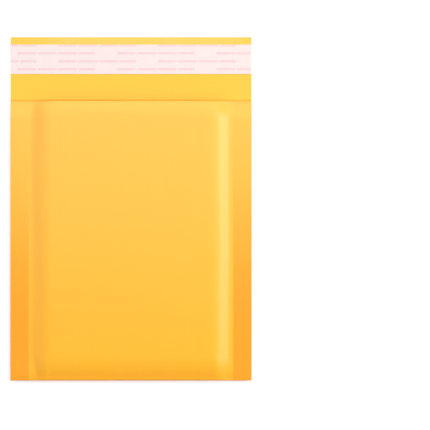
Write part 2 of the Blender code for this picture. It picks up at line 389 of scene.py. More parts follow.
@dataclass(frozen=True)
class KraftFinish:
    """Golden kraft paper, glazed outside and plain inside, amber in the welded bands from their pressing.
    Light and shade are painted into it: paler towards the mouth, more golden and amber towards the bottom
    fold, and amber along the fold and the lip.

    Lengths are in millimetres.

    Attributes:
        half_width: half of the web's width.
        seal_band: width of a welded band.
        fold_along: distance of the bottom fold from the flap's tip.
        pocket: depth of the pocket.
        pale: outer face near the mouth, lighter with painted light.
        golden: outer face near the bottom fold, darker with painted shade.
        amber: the welded bands' own colour, and painted shade in the bands, along the bottom fold and at
            the lip.
        inside: inner face.
        tip: inner face beyond the glue strip.
        raw: cut edge.
        fibres: the finest grain.
        clouds: broad patches.
        streaks: long thin streaks.
        cut_blur: how deep a cut edge starts to show and shows in full, from a face at 0.
        painted_light_drift: where pale starts and golden ends, as shares of the pocket's depth from the
            fold; this is painted light and shade.
        painted_light_patches: how much the clouds shift this painted light and shade.
        press_blur: half of the blur along a welded band.
        band_amber_and_shade: share of amber in the bands, from the mouth to the fold: their own amber, and
            painted shade that grows towards the fold.
        band_full: share of golden, the painted shade, at which the bands are fully amber.
        painted_fold_shade: distances from the bottom fold at which its amber painted shade starts to fade
            and has faded.
        painted_fold_shade_amber: share of amber painted shade at the fold.
        most_amber: the greatest share of amber in the outer face.
        tip_edge: distances from the tip at which its paleness starts to fade and has faded.
        tip_waves: unevenness of the tip.
        tip_share: share of its colour that is there without the waves.
        tip_middle: place of its palest part, as a share of the half width.
        tip_sides: distances from there at which it starts to fade and has faded, as such shares.
        tip_fade: how much it fades towards its ends.
        lip_shade: distances from the lip on the inner face at which its amber painted shade starts to fade
            and has faded.
        lip_shade_waves: unevenness of the painted shade along the lip.
        lip_shade_share: share of its painted shade that is there without the waves.
        roughness: roughness of the outer face, after the fibres.
        inner_roughness: how much rougher the inner face is.
        relief_strength: how much of the relief shows.
        relief_depth: depth of the relief in metres.
        refraction: index of refraction.
    """

    half_width: float
    seal_band: float
    fold_along: float
    pocket: float
    # pale and golden paint light and shade: paler near the mouth, darker towards the fold.
    pale: Colour = (0.99, 0.520, 0.066, 1.0)
    golden: Colour = (0.99, 0.455, 0.010, 1.0)
    amber: Colour = (0.99, 0.335, 0.002, 1.0)
    inside: Colour = (0.99, 0.550, 0.048, 1.0)
    tip: Colour = (0.99, 0.605, 0.125, 1.0)
    raw: Colour = (0.95, 0.62, 0.20, 1.0)
    fibres: Grain = Grain(stretch=0.30, scale=1.5, detail=4.0, tone=0.06, relief=0.6)
    clouds: Grain = Grain(stretch=0.60, scale=0.06, detail=2.0, tone=0.02, relief=0.4)
    streaks: Grain = Grain(stretch=0.02, scale=0.30, detail=2.0, tone=0.03)
    cut_blur: tuple[float, float] = (0.1, 0.6)
    # Painted light and shade, from pale at the mouth to golden at the fold.
    painted_light_drift: tuple[float, float] = (-0.1, 1.1)
    painted_light_patches: float = 0.12
    press_blur: float = 0.8
    # Amber of the bands: partly their own colour, partly painted shade towards the fold.
    band_amber_and_shade: Span = Span(0.05, 0.93)
    band_full: float = 0.9
    # Painted shade along the bottom fold.
    painted_fold_shade: tuple[float, float] = (1.0, 13.0)
    painted_fold_shade_amber: float = 0.45
    most_amber: float = 0.95
    tip_edge: tuple[float, float] = (5.7, 7.7)
    tip_waves: Waves = Waves(scale=0.05, row=0.0)
    tip_share: float = 0.3
    tip_middle: float = 0.1
    tip_sides: tuple[float, float] = (0.55, 1.0)
    tip_fade: float = 0.5
    # Painted shade along the lip.
    lip_shade: tuple[float, float] = (0.4, 1.8)
    lip_shade_waves: Waves = Waves(scale=0.035, row=11.0)
    lip_shade_share: float = 0.15
    roughness: Span = Span(0.32, 0.40)
    inner_roughness: float = 0.28
    relief_strength: float = 0.25
    relief_depth: float = 0.00008
    refraction: float = 1.45

    def material(self) -> bpy.types.Material:
        """Makes the paper's material.

        Returns:
            The material.
        """
        material, graph, shader = new_shader("kraft_paper", {"IOR": self.refraction})
        place = SheetPlace.read(graph)
        fibres = self.fibres.read(graph, place)
        clouds = self.clouds.read(graph, place)
        streaks = self.streaks.read(graph, place)
        outside = self._outer_face(graph, place, clouds)
        face = graph.blend(place.inner, outside, self._inner_face(graph, place))
        tone = 1.0 + (fibres - 0.5) * self.fibres.tone
        tone = tone + (clouds - 0.5) * self.clouds.tone + (streaks - 0.5) * self.streaks.tone
        colour = graph.blend(place.cut(*self.cut_blur), graph.shade(face, tone), self.raw)
        graph.feed(shader.inputs["Base Color"], colour)
        roughness = self.roughness.at(fibres) + place.inner * self.inner_roughness
        graph.feed(shader.inputs["Roughness"], roughness)
        relief = fibres * self.fibres.relief + clouds * self.clouds.relief
        normal = graph.bump(relief, self.relief_strength, self.relief_depth)
        graph.feed(shader.inputs["Normal"], normal)
        return material

    def _outer_face(self, graph: Graph, place: SheetPlace, clouds: Signal) -> bpy.types.NodeSocket:
        """Paper with painted light and shade: it turns from pale to golden towards the fold, with amber
        bands that are partly their own colour and partly painted shade, and amber painted shade along the
        bottom fold.

        Args:
            graph: the material's graph.
            place: the place on the sheet.
            clouds: the broad patches.

        Returns:
            The socket of its colour.
        """
        from_fold = abs(place.along - self.fold_along)
        # Painted light and shade: paler towards the mouth, darker towards the fold.
        golden = 1.0 - (from_fold / self.pocket).ease(*self.painted_light_drift) + (clouds - 0.5) * self.painted_light_patches
        face = graph.blend(golden, self.pale, self.golden)
        band_start = self.half_width - self.seal_band
        band = abs(place.x).ease(band_start - self.press_blur, band_start + self.press_blur)
        # Painted shade along the bottom fold.
        painted_fold_shade = 1.0 - from_fold.ease(*self.painted_fold_shade)
        # Band amber: partly the bands' own colour, partly painted shade that grows towards the fold.
        pressed_and_shaded = band * (1.0 - place.inner) * self.band_amber_and_shade.at(golden.ease(0.0, self.band_full))
        amber = (pressed_and_shaded + painted_fold_shade * self.painted_fold_shade_amber).at_most(self.most_amber)
        return graph.blend(amber, face, self.amber)

    def _inner_face(self, graph: Graph, place: SheetPlace) -> bpy.types.NodeSocket:
        """Paper with a paler, uneven tip and an uneven amber line of painted shade along the lip at the
        mouth.

        Args:
            graph: the material's graph.
            place: the place on the sheet.

        Returns:
            The socket of its colour.
        """
        tip = 1.0 - place.along.ease(*self.tip_edge)
        ends = abs(place.x / self.half_width - self.tip_middle).ease(*self.tip_sides)
        paleness = self.tip_share + self.tip_waves.read(graph, place) - ends * self.tip_fade
        face = graph.blend(tip * paleness, self.inside, self.tip)
        # Painted shade: an uneven amber line along the lip.
        lip_shade = 1.0 - abs(place.along - self.fold_along + self.pocket).ease(*self.lip_shade)
        uneven_lip_shade = self.lip_shade_share + self.lip_shade_waves.read(graph, place)
        return graph.blend(lip_shade * uneven_lip_shade, face, self.amber)


@dataclass(frozen=True)
class FilmFinish:
    """Milky clear bubble film.

    Attributes:
        milky: its colour where its haze is 0.
        clear: its colour where its haze is 1.
        opacity: how much of the light it stops, after the haze.
        roughness: its roughness, after the haze.
        haze_scale: patches in each metre.
        haze_detail: how many finer layers lie on them.
        refraction: index of refraction.
        coat: weight of its clear coat.
    """

    milky: Colour = (0.90, 0.93, 0.94, 1.0)
    clear: Colour = (0.97, 0.98, 0.98, 1.0)
    opacity: Span = Span(0.65, 0.95)
    roughness: Span = Span(0.16, 0.32)
    haze_scale: float = 180.0
    haze_detail: float = 3.0
    refraction: float = 1.5
    coat: float = 0.3

    def material(self) -> bpy.types.Material:
        """Makes the film's material.

        Returns:
            The material.
        """
        constants = {"IOR": self.refraction, "Coat Weight": self.coat}
        material, graph, shader = new_shader("bubble_film", constants)
        place = graph.add("ShaderNodeTexCoord").outputs["Object"]
        haze = graph.noise(place, self.haze_scale, self.haze_detail)
        graph.feed(shader.inputs["Base Color"], graph.blend(haze, self.milky, self.clear))
        graph.feed(shader.inputs["Roughness"], self.roughness.at(haze))
        graph.feed(shader.inputs["Alpha"], self.opacity.at(haze))
        return material


@dataclass(frozen=True)
class GlueFinish:
    """Pale amber hot-melt glue, slightly rippled across the strip.

    Attributes:
        thin: its colour in a hollow.
        thick: its colour on a ridge.
        ripple_stretch: scale of the ripples across the envelope as a share of that along it.
        ripple_scale: ripples in each millimetre along the envelope.
        ripple_detail: how many finer layers lie on them.
        roughness: its roughness, after the ripples.
        relief_strength: how much of the ripples' relief shows.
        relief_depth: depth of that relief in metres.
        refraction: index of refraction.
        coat: weight of its clear coat.
    """

    thin: Colour = (0.86, 0.74, 0.44, 1.0)
    thick: Colour = (0.70, 0.52, 0.22, 1.0)
    ripple_stretch: float = 0.05
    ripple_scale: float = 0.9
    ripple_detail: float = 2.0
    roughness: Span = Span(0.22, 0.37)
    relief_strength: float = 0.4
    relief_depth: float = 0.0001
    refraction: float = 1.5
    coat: float = 0.4

    def material(self) -> bpy.types.Material:
        """Makes the glue's material.

        Returns:
            The material.
        """
        constants = {"IOR": self.refraction, "Coat Weight": self.coat}
        material, graph, shader = new_shader("hot_melt_glue", constants)
        place = SheetPlace.read(graph)
        vector = graph.join(place.x * self.ripple_stretch, place.along, 0.0)
        ripple = graph.noise(vector, self.ripple_scale, self.ripple_detail)
        graph.feed(shader.inputs["Base Color"], graph.blend(ripple, self.thin, self.thick))
        graph.feed(shader.inputs["Roughness"], self.roughness.at(ripple))
        normal = graph.bump(ripple, self.relief_strength, self.relief_depth)
        graph.feed(shader.inputs["Normal"], normal)
        return material


@dataclass(frozen=True)
class ReleaseFinish:
    """White release paper with staggered rows of small pink chevrons. Lengths are in millimetres.

    Attributes:
        half_width: half of the strip's width.
        paper: the paper's colour.
        ink: the print's colour.
        haze_scale: patches in each millimetre.
        haze_detail: how many finer layers lie on them.
        tone: how light the paper is, after the haze.
        cover: how much of the paper the ink covers, after the haze.
        roughness: its roughness, after the haze.
        refraction: index of refraction.
        coat: weight of its clear coat.
        first_row: distance of the first row from the strip's upper edge.
        row_pitch: distance from row to row.
        mark_half_height: half of a chevron's height.
        mark_pitch: distance from chevron to chevron.
        stroke: width of a chevron's stroke.
        lean: how far the stroke runs sideways for each millimetre of height.
        run: length of a line of chevrons.
        period: distance from the start of a line to the start of the next in its row.
        first_start: start of a line in the even rows, from the strip's left end.
        second_start: start of a line in the odd rows, which point the other way.
        group: distance between the gaps in a line.
    """

    half_width: float
    paper: Colour = (0.845, 0.710, 0.695, 1.0)
    ink: Colour = (0.74, 0.28, 0.36, 1.0)
    haze_scale: float = 0.12
    haze_detail: float = 3.0
    tone: Span = Span(0.975, 1.025)
    cover: Span = Span(0.5, 1.0)
    roughness: Span = Span(0.34, 0.44)
    refraction: float = 1.45
    coat: float = 0.15
    first_row: float = 0.5
    row_pitch: float = 6.1
    mark_half_height: float = 1.0
    mark_pitch: float = 1.75
    stroke: float = 0.62
    lean: float = 0.6
    run: float = 61.0
    period: float = 76.0
    first_start: float = 34.7
    second_start: float = 3.4
    group: float = 15.75

    def material(self) -> bpy.types.Material:
        """Makes the release paper's material.

        Returns:
            The material.
        """
        constants = {"IOR": self.refraction, "Coat Weight": self.coat}
        material, graph, shader = new_shader("release_paper", constants)
        place = SheetPlace.read(graph)
        vector = graph.join(place.x, place.along, 0.0)
        haze = graph.noise(vector, self.haze_scale, self.haze_detail)
        ink = self._chevrons(place) * place.inner * self.cover.at(haze)
        printed = graph.blend(ink, self.paper, self.ink)
        graph.feed(shader.inputs["Base Color"], graph.shade(printed, self.tone.at(haze)))
        graph.feed(shader.inputs["Roughness"], self.roughness.at(haze))
        return material

    def _chevrons(self, place: SheetPlace) -> Signal:
        """1 on the printed chevrons, 0 between them.

        Args:
            place: the place on the strip.

        Returns:
            The mask.
        """
        down = place.along - self.first_row + self.row_pitch / 2
        row = (down / self.row_pitch).floor()
        height = abs(down % self.row_pitch - self.row_pitch / 2)
        odd = row % 2.0
        start = self.first_start + odd * (self.second_start - self.first_start)
        reach = (place.x + self.half_width - start) % self.period
        step = reach % self.mark_pitch - self.mark_pitch / 2
        facing = 1.0 - odd * 2.0
        slant = abs(step * facing + (height - self.mark_half_height / 2) * self.lean)
        stroke = slant.below(self.stroke / 2) * height.below(self.mark_half_height)
        grouped = 1.0 - (reach % self.group).below(self.mark_pitch)
        return stroke * reach.below(self.run) * grouped


def ease(share: np.ndarray) -> np.ndarray:
    """A smooth step from 0 to 1."""
    share = np.clip(share, 0.0, 1.0)
    return share * share * (3.0 - 2.0 * share)


def swell(share: np.ndarray, foot: float, crown: float) -> np.ndarray:
    """A step from 0 to 1 that steepens, runs straight and levels out.

    Args:
        share: how far along the step each place is, from 0 to 1.
        foot: the share at which it stops steepening.
        crown: the share at which it starts to level out.

    Returns:
        The heights.
    """
    share = np.clip(share, 0.0, 1.0)
    steepest = 2.0 / (1.0 + crown - foot)
    low = share**2 / foot / 2
    middle = share - foot / 2
    high = (1.0 + crown - foot - (1.0 - share) ** 2 / (1.0 - crown)) / 2
    return steepest * np.where(share < foot, low, np.where(share < crown, middle, high))


def spread(stops: list[float], steps: list[float]) -> np.ndarray:
    """Places from the first stop to the last.

    Args:
        stops: places that are kept, in order.
        steps: about how far apart the places are between each stop and the next.

    Returns:
        The places.
    """
    runs = []
    for first, last, step in zip(stops, stops[1:], steps):
        count = max(1, round(abs(last - first) / step))
        runs.append(np.linspace(first, last, count + 1)[:-1])
    return np.concatenate([*runs, stops[-1:]])


class Wall(Enum):
    """One of the two walls of the pocket, by the direction of its outer face."""

    LOWER = -1
    UPPER = 1


@dataclass(frozen=True)
class Pucker:
    """A soft ridge in the paper.

    Attributes:
        x: place of its middle across the envelope.
        y: place of its middle along the envelope.
        heading: direction of its length, in radians from +X.
        length: half of its length.
        width: half of its width.
        rise: its height, negative for a hollow.
    """

    x: float
    y: float
    heading: float
    length: float
    width: float
    rise: float

    def height(self, x: np.ndarray, y: np.ndarray) -> np.ndarray:
        """How much it lifts the paper.

        Args:
            x: places across the envelope.
            y: places along it.

        Returns:
            The lift at each place.
        """
        along = (x - self.x) * math.cos(self.heading) + (y - self.y) * math.sin(self.heading)
        across = (y - self.y) * math.cos(self.heading) - (x - self.x) * math.sin(self.heading)
        return self.rise * np.exp(-((along / self.length) ** 2) - (across / self.width) ** 2)


@dataclass(frozen=True)
class EnvelopeForm:
    """The shape that all layers of the envelope follow.

    Attributes:
        width: width of the web.
        fold_y: place of the bottom fold.
        lip_y: place of the cut at the mouth.
        tip_y: place of the cut at the flap's tip.
        thickness: height of the flat middle of the pocket.
        seal_band: width of a welded band.
        shoulder: width of the slope from a band to the flat middle.
        foot: share of the shoulder over which it steepens.
        crown: share of the shoulder from which it levels out.
        seal_lift: how high the padding holds the bands off the floor.
        seam_half: half of the thickness of a welded band.
        fold_thickness: thickness of the bottom fold.
        fold_taper: length of the slope from the fold to the full thickness.
        fold_foot: share of that slope over which it steepens.
        fold_crown: share of that slope from which it levels out.
        mouth_thickness: thickness at the lip.
        mouth_taper: length over which the thickness falls to that of the lip.
        mouth_spread: how much wider the shoulders are at the lip.
        normal_step: short step over which slopes are measured.
        fine_step: distance from point to point where the paper bends.
        coarse_step: distance from point to point elsewhere.
        fold_steps: steps round the bottom fold.
        puckers: soft ridges in the upper wall.
    """

    width: float
    fold_y: float
    lip_y: float
    tip_y: float
    thickness: float
    seal_band: float = 0.014
    shoulder: float = 0.019
    foot: float = 0.32
    crown: float = 0.38
    seal_lift: float = 0.0024
    seam_half: float = 0.00075
    fold_thickness: float = 0.0044
    fold_taper: float = 0.015
    fold_foot: float = 0.06
    fold_crown: float = 0.30
    mouth_thickness: float = 0.0068
    mouth_taper: float = 0.014
    mouth_spread: float = 0.005
    normal_step: float = 1e-5
    fine_step: float = 0.0008
    coarse_step: float = 0.0025
    fold_steps: int = 16
    puckers: tuple[Pucker, ...] = ()

    @classmethod
    def from_frame(cls) -> "EnvelopeForm":
        """Takes the sizes of the envelope from the frame's nodes.

        Returns:
            The form, with its puckers beside the bands and at the lower corners.
        """
        low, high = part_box("kraft_envelope")
        lip_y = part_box("bubble_lining")[1].y
        band = high.x - cls.seal_band
        # Each has its place across and along, heading, half length, half width and rise.
        puckers = (
            Pucker(-band - 0.0010, low.y + 0.004, 1.35, 0.010, 0.0026, 0.00070),
            Pucker(-band + 0.0055, low.y + 0.008, 1.60, 0.009, 0.0024, -0.00060),
            Pucker(-band + 0.0130, low.y + 0.004, 1.50, 0.012, 0.0030, 0.00055),
            Pucker(band - 0.0060, low.y + 0.006, 1.75, 0.009, 0.0026, -0.00040),
            Pucker(band - 0.0120, low.y + 0.004, 1.65, 0.011, 0.0030, 0.00045),
            Pucker(-band + 0.0070, low.y + 0.070, 1.58, 0.028, 0.0036, -0.00028),
            Pucker(-band + 0.0060, low.y + 0.150, 1.56, 0.030, 0.0040, 0.00020),
            Pucker(band - 0.0080, low.y + 0.110, 1.60, 0.034, 0.0040, 0.00020),
        )
        return cls(high.x - low.x, low.y, lip_y, high.y, high.z - low.z, puckers=puckers)

    @property
    def seam_z(self) -> float:
        """Height of the middle of the welded bands."""
        return self.seal_lift + self.seam_half

    @property
    def pillow_rise(self) -> float:
        """How much higher the upper wall stands over the middle than over the bands."""
        return self.thickness - self.seam_z - self.seam_half

    @property
    def fold_share(self) -> float:
        """The padding that is left at the bottom fold, as a share of the full padding."""
        return (self.fold_thickness - 2 * self.seam_half) / (self.thickness - 2 * self.seam_half)

    def openness(self, y: np.ndarray) -> np.ndarray:
        """1 at the lip, falling to 0 where the mouth's taper ends."""
        return np.clip(1.0 - (self.lip_y - y) / self.mouth_taper, 0.0, 1.0) ** 3

    def fullness(self, x: np.ndarray, y: np.ndarray) -> np.ndarray:
        """0 on the welded bands, 1 over the flat middle, with flatter shoulders towards the lip."""
        shoulder = self.shoulder + self.mouth_spread * self.openness(y)
        return swell((self.width / 2 - self.seal_band - np.abs(x)) / shoulder, self.foot, self.crown)

    def fold_radius(self, x: np.ndarray) -> np.ndarray:
        """Radius of the web's outer face round the bottom fold."""
        fullness = self.fullness(x, self.fold_y)
        return self.seam_half + self.fold_share * fullness * (self.pillow_rise + self.seal_lift) / 2

    def fold_centre(self, x: np.ndarray) -> np.ndarray:
        """Height of the middle of the bottom fold."""
        fullness = self.fullness(x, self.fold_y)
        return self.seam_z + self.fold_share * fullness * (self.pillow_rise - self.seal_lift) / 2

    def padding(self, x: np.ndarray, y: np.ndarray) -> np.ndarray:
        """How much padding there is between the walls.

        Args:
            x: places across the envelope.
            y: places along it.

        Returns:
            The padding at each place, as a share of the full padding.
        """
        reach = (y - self.fold_y - self.fold_radius(x)) / self.fold_taper
        depth = swell(reach, self.fold_foot, self.fold_crown)
        return (self.fold_share + (1.0 - self.fold_share) * depth) * self.fullness(x, y)

    def height(self, wall: Wall, x: np.ndarray, y: np.ndarray) -> np.ndarray:
        """Height of a wall's outer face.

        Args:
            wall: the wall. The lower one runs on as the flap.
            x: places across the envelope.
            y: places along it.

        Returns:
            The heights.
        """
        lift = self.seal_lift * ease((self.lip_y - y) / self.mouth_taper)
        if wall is Wall.LOWER:
            return lift * (1.0 - self.padding(x, y))
        band = lift + 2 * self.seam_half
        rise = self.thickness - (self.thickness - self.mouth_thickness) * self.openness(y) - band
        return band + rise * self.padding(x, y) + sum(p.height(x, y) for p in self.puckers)

    def wall_points(self, wall: Wall, x: np.ndarray, y: np.ndarray, inset: float) -> np.ndarray:
        """Points of a wall, moved in from its outer face and square to it.

        Args:
            wall: the wall.
            x: places across the envelope.
            y: places along it.
            inset: how far the points lie behind the outer face.

        Returns:
            The points, with x, y and z on the last axis.
        """
        normal = self.wall_normals(wall, x, y)
        outer = np.stack([x, y, self.height(wall, x, y)], axis=-1)
        points = outer - normal * inset
        cut = (y >= self.lip_y) if wall is Wall.UPPER else (y == self.lip_y) | (y == self.tip_y)
        points[..., 1] = np.where(cut, y, points[..., 1])
        return points

    def wall_normals(self, wall: Wall, x: np.ndarray, y: np.ndarray) -> np.ndarray:
        """Outward normals of a wall, from its slopes over a short step.

        Args:
            wall: the wall.
            x: places across the envelope.
            y: places along it.

        Returns:
            The normals, with x, y and z on the last axis.
        """
        step = self.normal_step
        slope_x = (self.height(wall, x + step, y) - self.height(wall, x - step, y)) / (2 * step)
        slope_y = (self.height(wall, x, y + step) - self.height(wall, x, y - step)) / (2 * step)
        up = np.stack([-slope_x, -slope_y, np.ones_like(slope_x)], axis=-1)
        return wall.value * up / np.linalg.norm(up, axis=-1, keepdims=True)

    def fold_points(self, x: np.ndarray, turn: np.ndarray, inset: float) -> np.ndarray:
        """Points round the bottom fold.

        Args:
            x: places across the envelope.
            turn: -1 at the lower wall, 1 at the upper one.
            inset: how far the points lie behind the outer face.

        Returns:
            The points, with x, y and z on the last axis.
        """
        radius = self.fold_radius(x)
        angle = turn * math.pi / 2
        y = self.fold_y + radius - (radius - inset) * np.cos(angle)
        z = self.fold_centre(x) + (radius - inset) * np.sin(angle)
        blend = ease((turn + 1) / 2)
        z = z + blend * sum(p.height(x, y) for p in self.puckers)
        return np.stack([x, y, z], axis=-1)

    def columns(self) -> np.ndarray:
        """Places across the web, close together over the shoulders.

        Returns:
            The places, from left to right.
        """
        edge = self.width / 2
        band = edge - self.seal_band
        flat = band - self.shoulder
        bend = band + self.fine_step
        stops = [-edge, -bend, -flat, flat, bend, edge]
        return spread(stops, [self.coarse_step, self.fine_step] * 2 + [self.coarse_step])

    def pocket_rows(self) -> np.ndarray:
        """Places along a wall, close together where it bends.

        Returns:
            The places, from the lip to the fold.
        """
        fold = self.fold_y + float(self.fold_radius(np.array(0.0)))
        stops = [self.lip_y, self.lip_y - self.mouth_taper, fold + self.fold_taper, fold]
        return spread(stops, [self.fine_step, self.coarse_step, self.fine_step])

    def web(self, first_y: float, inset: float) -> np.ndarray:
        """One face of a sheet that runs down the lower wall, round the fold and up to the mouth.

        Args:
            first_y: where the sheet starts on the lower wall or on the flap.
            inset: how far the face lies behind the outer face of the paper.

        Returns:
            The points, as rows of columns.
        """
        pocket = self.pocket_rows()
        rows = pocket[:-1]
        if first_y > self.lip_y:
            rows = np.concatenate([spread([first_y, self.lip_y], [self.coarse_step])[:-1], rows])
        x, y = np.meshgrid(self.columns(), rows)
        lower = self.wall_points(Wall.LOWER, x, y, inset)
        x, turn = np.meshgrid(self.columns(), np.linspace(-1.0, 1.0, self.fold_steps + 1))
        fold = self.fold_points(x, turn, inset)
        x, y = np.meshgrid(self.columns(), pocket[-2::-1])
        return np.concatenate([lower, fold, self.wall_points(Wall.UPPER, x, y, inset)])


@dataclass(frozen=True)
class Sheet:
    """A sheet with two faces and a cut edge all round.

    Attributes:
        name: the piece's name.
        outer: points of the outer face, as rows of columns.
        inner: points of the inner face, in the same order.
        sharp_angle: angle in radians from which an edge is drawn sharp.
    """

    name: str
    outer: np.ndarray
    inner: np.ndarray
    sharp_angle: float = math.radians(50)

    def build(self) -> bpy.types.Object:
        """Makes the sheet's mesh, with its place before folding as an attribute.

        Returns:
            The sheet's object.
        """
        mesh = bpy.data.meshes.new(self.name)
        vertices = np.concatenate([self.outer.reshape(-1, 3), self.inner.reshape(-1, 3)])
        mesh.from_pydata(vertices.tolist(), [], self._faces().tolist())
        attribute = mesh.attributes.new(FLAT, "FLOAT_VECTOR", "POINT")
        attribute.data.foreach_set("vector", self._flat_places().astype(np.float32).ravel())
        mesh.shade_smooth()
        mesh.set_sharp_from_angle(angle=self.sharp_angle)
        return add_object(self.name, mesh)

    def _faces(self) -> np.ndarray:
        """Joins the points into quads.

        Returns:
            The quads' vertex numbers: outer face, inner face and cut edge.
        """
        rows, columns = self.outer.shape[:2]
        number = np.arange(rows * columns).reshape(rows, columns)
        quads = [number[:-1, :-1], number[:-1, 1:], number[1:, 1:], number[1:, :-1]]
        outer = np.stack(quads, axis=-1).reshape(-1, 4)
        inner = outer[:, ::-1] + rows * columns
        edge = np.concatenate([number[0, :-1], number[:-1, -1], number[-1, :0:-1], number[:0:-1, 0]])
        after = np.roll(edge, -1)
        rim = np.stack([after, edge, edge + rows * columns, after + rows * columns], axis=-1)
        return np.concatenate([outer, inner, rim])

    def _flat_places(self) -> np.ndarray:
        """Finds where each point lies before the sheet is folded.

        Returns:
            Its x, its distance along the sheet's middle, and 0 outside or 1 inside.
        """
        middle = self.outer[:, self.outer.shape[1] // 2]
        along = np.concatenate([[0.0], np.cumsum(np.linalg.norm(np.diff(middle, axis=0), axis=1))])
        places = np.empty((2, *self.outer.shape))
        places[..., 0] = self.outer[..., 0]
        places[..., 1] = along[:, None]
        places[0, ..., 2] = 0.0
        places[1, ..., 2] = 1.0
        return places.reshape(-1, 3)


def add_object(name: str, mesh: bpy.types.Mesh) -> bpy.types.Object:
    """Puts a mesh into the scene.

    Args:
        name: the object's name.
        mesh: its mesh.

    Returns:
        The object, at the origin.
    """
    piece = bpy.data.objects.new(name, mesh)
    bpy.context.scene.collection.objects.link(piece)
    return piece


def settle(piece: bpy.types.Object, node: str) -> None:
    """Lets a finished piece stand for a node of the frame and reports it.

    Args:
        piece: the piece, at the origin, with its material.
        node: the frame's node.
    """
    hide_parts(node)
    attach(piece, BODY)
    piece.data.calc_loop_triangles()
    LOG.info("%s stands for %s, with %d triangles", piece.name, node, len(piece.data.loop_triangles))


@dataclass
class KraftWeb:
    """The paper: one sheet that is the flap, the lower wall, the bottom fold and the upper wall.

    Attributes:
        form: the envelope's form.
        paper: the paper's thickness.
    """

    form: EnvelopeForm
    paper: float = 0.00025

    def build(self) -> None:
        """Builds and dresses the paper."""
        tip_y = self.form.tip_y
        sheet = Sheet("kraft_web", self.form.web(tip_y, 0.0), self.form.web(tip_y, self.paper))
        piece = sheet.build()
        piece.data.materials.append(self._finish().material())
        settle(piece, "kraft_envelope")

    def _finish(self) -> KraftFinish:
        """Fits the paper's finish to its sizes.

        Returns:
            The finish.
        """
        form = self.form
        return KraftFinish(
            half_width=form.width / 2 * MM,
            seal_band=form.seal_band * MM,
            fold_along=(form.tip_y - form.fold_y) * MM,
            pocket=(form.lip_y - form.fold_y) * MM,
        )


@dataclass
class DomeTree:
    """A node tree that sets a dome on each seat of a film and dresses the film.

    Attributes:
        segments: sides of a dome.
        rings: rings of the ball that a dome is cut from.
        squareness: how flat a dome's crown is, from 2 for half a ball.
        rim: how far below the ball's middle it is cut.
    """

    segments: int = 12
    rings: int = 8
    squareness: float = 3.0
    rim: float = 0.01

    def build(self, name: str, material: bpy.types.Material) -> bpy.types.NodeTree:
        """Builds the tree.

        Args:
            name: the tree's name.
            material: the film's material.

        Returns:
            The tree, with the inputs Geometry, Diameter and Segments.
        """
        tree = bpy.data.node_groups.new(name, "GeometryNodeTree")
        sockets = tree.interface
        sockets.new_socket(name="Geometry", in_out="OUTPUT", socket_type="NodeSocketGeometry")
        sockets.new_socket(name="Geometry", in_out="INPUT", socket_type="NodeSocketGeometry")
        sockets.new_socket(name="Diameter", in_out="INPUT", socket_type="NodeSocketFloat")
        sockets.new_socket(name="Segments", in_out="INPUT", socket_type="NodeSocketInt")
        graph = Graph(tree)
        given = graph.add("NodeGroupInput").outputs
        seat = self._attribute(graph, "seat", "BOOLEAN")
        parts = graph.add("GeometryNodeSeparateGeometry", {"domain": "POINT"}, {0: given[0], 1: seat})
        up = self._attribute(graph, "up", "FLOAT_VECTOR")
        turn = graph.add("FunctionNodeAlignRotationToVector", {"axis": "Z"}, {"Vector": up})
        scale = graph.join(given["Diameter"], given["Diameter"], self._attribute(graph, "rise", "FLOAT"))
        inputs = {
            "Points": parts.outputs[0],
            "Instance": self._dome(graph, given["Segments"]),
            "Rotation": turn.outputs[0],
            "Scale": scale,
        }
        domes = graph.add("GeometryNodeInstanceOnPoints", None, inputs).outputs[0]
        joined = graph.add("GeometryNodeJoinGeometry", None, {0: parts.outputs[1]})
        graph.feed(joined.inputs[0], domes)
        plain = graph.add("GeometryNodeRealizeInstances", None, {0: joined.outputs[0]}).outputs[0]
        dressed = graph.add("GeometryNodeSetMaterial", None, {"Geometry": plain, "Material": material})
        graph.add("NodeGroupOutput", None, {0: dressed.outputs[0]})
        return tree

    def _attribute(self, graph: Graph, name: str, kind: str) -> bpy.types.NodeSocket:
        """The socket of a named attribute."""
        return graph.add("GeometryNodeInputNamedAttribute", {"data_type": kind}, {"Name": name}).outputs[0]

    def _dome(self, graph: Graph, segments: bpy.types.NodeSocket) -> bpy.types.NodeSocket:
        """A smooth dome of diameter 1 and height 1 with a flattened crown.

        Args:
            graph: the tree's graph.
            segments: the number of its sides.

        Returns:
            The dome's geometry socket.
        """
        inputs = {"Segments": segments, "Rings": self.rings, "Radius": 0.5}
        ball = graph.add("GeometryNodeMeshUVSphere", None, inputs).outputs[0]
        x, y, z = graph.split(graph.add("GeometryNodeInputPosition").outputs[0])
        half = graph.add("GeometryNodeDeleteGeometry", None, {0: ball, 1: z.below(-self.rim)})
        radius = (x * x + y * y) ** 0.5 * 2.0
        crown = (1.0 - radius.at_most(1.0) ** self.squareness) ** (1.0 / self.squareness)
        place = graph.join(x, y, crown)
        shaped = graph.add("GeometryNodeSetPosition", None, {0: half.outputs[0], 2: place})
        smooth = graph.add("GeometryNodeSetShadeSmooth", None, {0: shaped.outputs[0]})
        return smooth.outputs[0]


